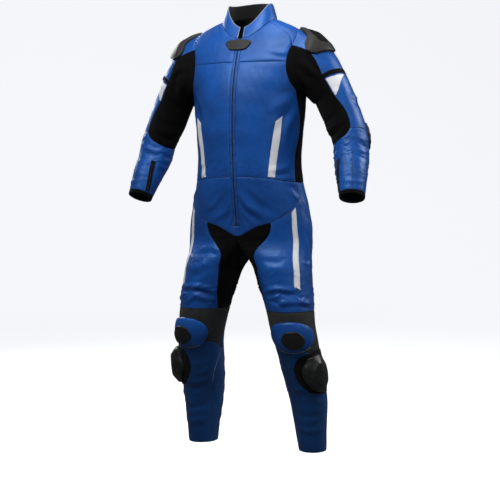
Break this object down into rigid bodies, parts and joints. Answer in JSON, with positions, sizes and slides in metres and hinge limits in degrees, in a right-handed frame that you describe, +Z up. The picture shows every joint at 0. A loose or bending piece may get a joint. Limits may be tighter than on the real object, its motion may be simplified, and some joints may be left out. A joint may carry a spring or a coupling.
{
  "type": "motorcycle race suit",
  "caption": "One-piece blue leather race suit in its worn shape, hollow, with black stretch panels, shoulder cups and knee sliders.",
  "frame": {"origin": "middle of the neck opening, 100 mm below the collar's top edge, where the suit hangs on the shoulders", "axes": "+Z up, -Y the front of the suit, +X the wearer's left"},
  "size_m": [0.8348, 0.2867, 1.4745],
  "materials": {
    "blue_leather": "dyed grain leather with a satin top coat",
    "white_leather": "smooth pigmented leather",
    "black_stretch": "ribbed stretch weave, dull",
    "black_lining": "fine mesh lining, dull",
    "black_armour": "moulded, fine satin grain",
    "hook_loop": "hook-and-loop pile",
    "puck_plastic": "hard moulded plastic, lightly scuffed",
    "zip": "woven zip tape"
  },
  "bodies": {
    "root": {"collar": "blue_leather", "collar_lining": "black_lining", "neck_tab": "black_armour", "front_zip": "blue_leather", "back": "blue_leather", "chest_yoke_left": "blue_leather", "chest_yoke_right": "blue_leather", "shoulder_piece_left": "blue_leather", "shoulder_piece_right": "blue_leather", "chest_front_left": "blue_leather", "chest_front_right": "blue_leather", "pelvis_front_left": "blue_leather", "pelvis_front_right": "blue_leather", "seat_left": "blue_leather", "seat_right": "blue_leather", "thigh_front_left": "blue_leather", "thigh_front_right": "blue_leather", "knee_dome_left": "blue_leather", "knee_dome_right": "blue_leather", "shin_left": "blue_leather", "shin_right": "blue_leather", "calf_left": "blue_leather", "calf_right": "blue_leather", "sleeve_outer_left": "blue_leather", "sleeve_outer_right": "blue_leather", "forearm_left": "blue_leather", "forearm_right": "blue_leather", "torso_stripe_left": "white_leather", "torso_stripe_right": "white_leather", "thigh_stripe_left": "white_leather", "thigh_stripe_right": "white_leather", "arm_patch_left": "white_leather", "arm_patch_right": "white_leather", "side_panel_left": "black_stretch", "side_panel_right": "black_stretch", "crotch_stretch_left": "black_stretch", "crotch_stretch_right": "black_stretch", "knee_stretch_left": "black_stretch", "knee_stretch_right": "black_stretch", "sleeve_stretch_left": "black_stretch", "sleeve_stretch_right": "black_stretch", "sleeve_band_left": "black_stretch", "sleeve_band_right": "black_stretch", "cuff_left": "black_stretch", "cuff_right": "black_stretch", "shoulder_cup_left": "black_armour", "shoulder_cup_right": "black_armour", "elbow_cup_left": "black_armour", "elbow_cup_right": "black_armour", "knee_insert_left": "black_armour", "knee_insert_right": "black_armour", "slider_base_left": "hook_loop", "slider_base_right": "hook_loop", "slider_puck_left": "puck_plastic", "slider_puck_right": "puck_plastic", "forearm_zip_left": "zip", "forearm_zip_right": "zip"}
  },
  "joints": []
}
